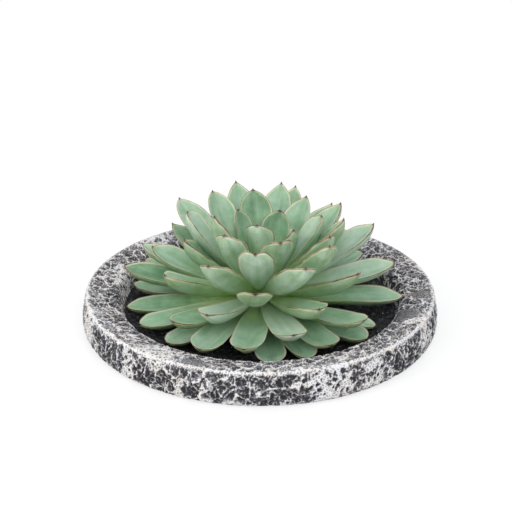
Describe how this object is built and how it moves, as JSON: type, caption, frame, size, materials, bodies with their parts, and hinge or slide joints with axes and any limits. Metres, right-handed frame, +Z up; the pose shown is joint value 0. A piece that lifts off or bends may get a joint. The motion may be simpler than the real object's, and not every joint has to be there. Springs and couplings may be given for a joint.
{
  "type": "potted echeveria",
  "caption": "Succulent rosette of fleshy spoon-shaped leaves on a short stem, planted in dark soil in a shallow round dish of pitted cast stone with a wide sloping rim.",
  "frame": {"origin": "centre of the dish's flat underside", "axes": "+Z up along the stem, -Y towards the front of the plant, +X to its right"},
  "size_m": [0.25, 0.25, 0.0834],
  "materials": {
    "cast_lava": "matte",
    "potting_soil": "matte",
    "plant_stem": "matte",
    "outer_leaf": "satin",
    "middle_leaf": "satin",
    "inner_leaf": "satin"
  },
  "bodies": {
    "root": {"dish": "cast_lava", "soil": "potting_soil", "stem": "plant_stem", "outer_leaf_01": "outer_leaf", "outer_leaf_02": "outer_leaf", "outer_leaf_03": "outer_leaf", "outer_leaf_04": "outer_leaf", "outer_leaf_05": "outer_leaf", "outer_leaf_06": "outer_leaf", "outer_leaf_07": "outer_leaf", "outer_leaf_08": "outer_leaf", "outer_leaf_09": "outer_leaf", "outer_leaf_10": "outer_leaf", "outer_leaf_11": "outer_leaf", "outer_leaf_12": "outer_leaf", "outer_leaf_13": "outer_leaf", "outer_leaf_14": "outer_leaf", "outer_leaf_15": "outer_leaf", "outer_leaf_16": "outer_leaf", "outer_leaf_17": "outer_leaf", "outer_leaf_18": "outer_leaf", "middle_leaf_01": "middle_leaf", "middle_leaf_02": "middle_leaf", "middle_leaf_03": "middle_leaf", "middle_leaf_04": "middle_leaf", "middle_leaf_05": "middle_leaf", "middle_leaf_06": "middle_leaf", "middle_leaf_07": "middle_leaf", "middle_leaf_08": "middle_leaf", "middle_leaf_09": "middle_leaf", "middle_leaf_10": "middle_leaf", "middle_leaf_11": "middle_leaf", "middle_leaf_12": "middle_leaf", "middle_leaf_13": "middle_leaf", "middle_leaf_14": "middle_leaf", "middle_leaf_15": "middle_leaf", "middle_leaf_16": "middle_leaf", "middle_leaf_17": "middle_leaf", "middle_leaf_18": "middle_leaf", "middle_leaf_19": "middle_leaf", "middle_leaf_20": "middle_leaf", "inner_leaf_01": "inner_leaf", "inner_leaf_02": "inner_leaf", "inner_leaf_03": "inner_leaf", "inner_leaf_04": "inner_leaf", "inner_leaf_05": "inner_leaf", "inner_leaf_06": "inner_leaf", "inner_leaf_07": "inner_leaf", "inner_leaf_08": "inner_leaf", "inner_leaf_09": "inner_leaf", "inner_leaf_10": "inner_leaf", "inner_leaf_11": "inner_leaf", "inner_leaf_12": "inner_leaf", "inner_leaf_13": "inner_leaf", "inner_leaf_14": "inner_leaf", "inner_leaf_15": "inner_leaf", "inner_leaf_16": "inner_leaf", "inner_leaf_17": "inner_leaf", "inner_leaf_18": "inner_leaf", "inner_leaf_19": "inner_leaf"}
  },
  "joints": []
}
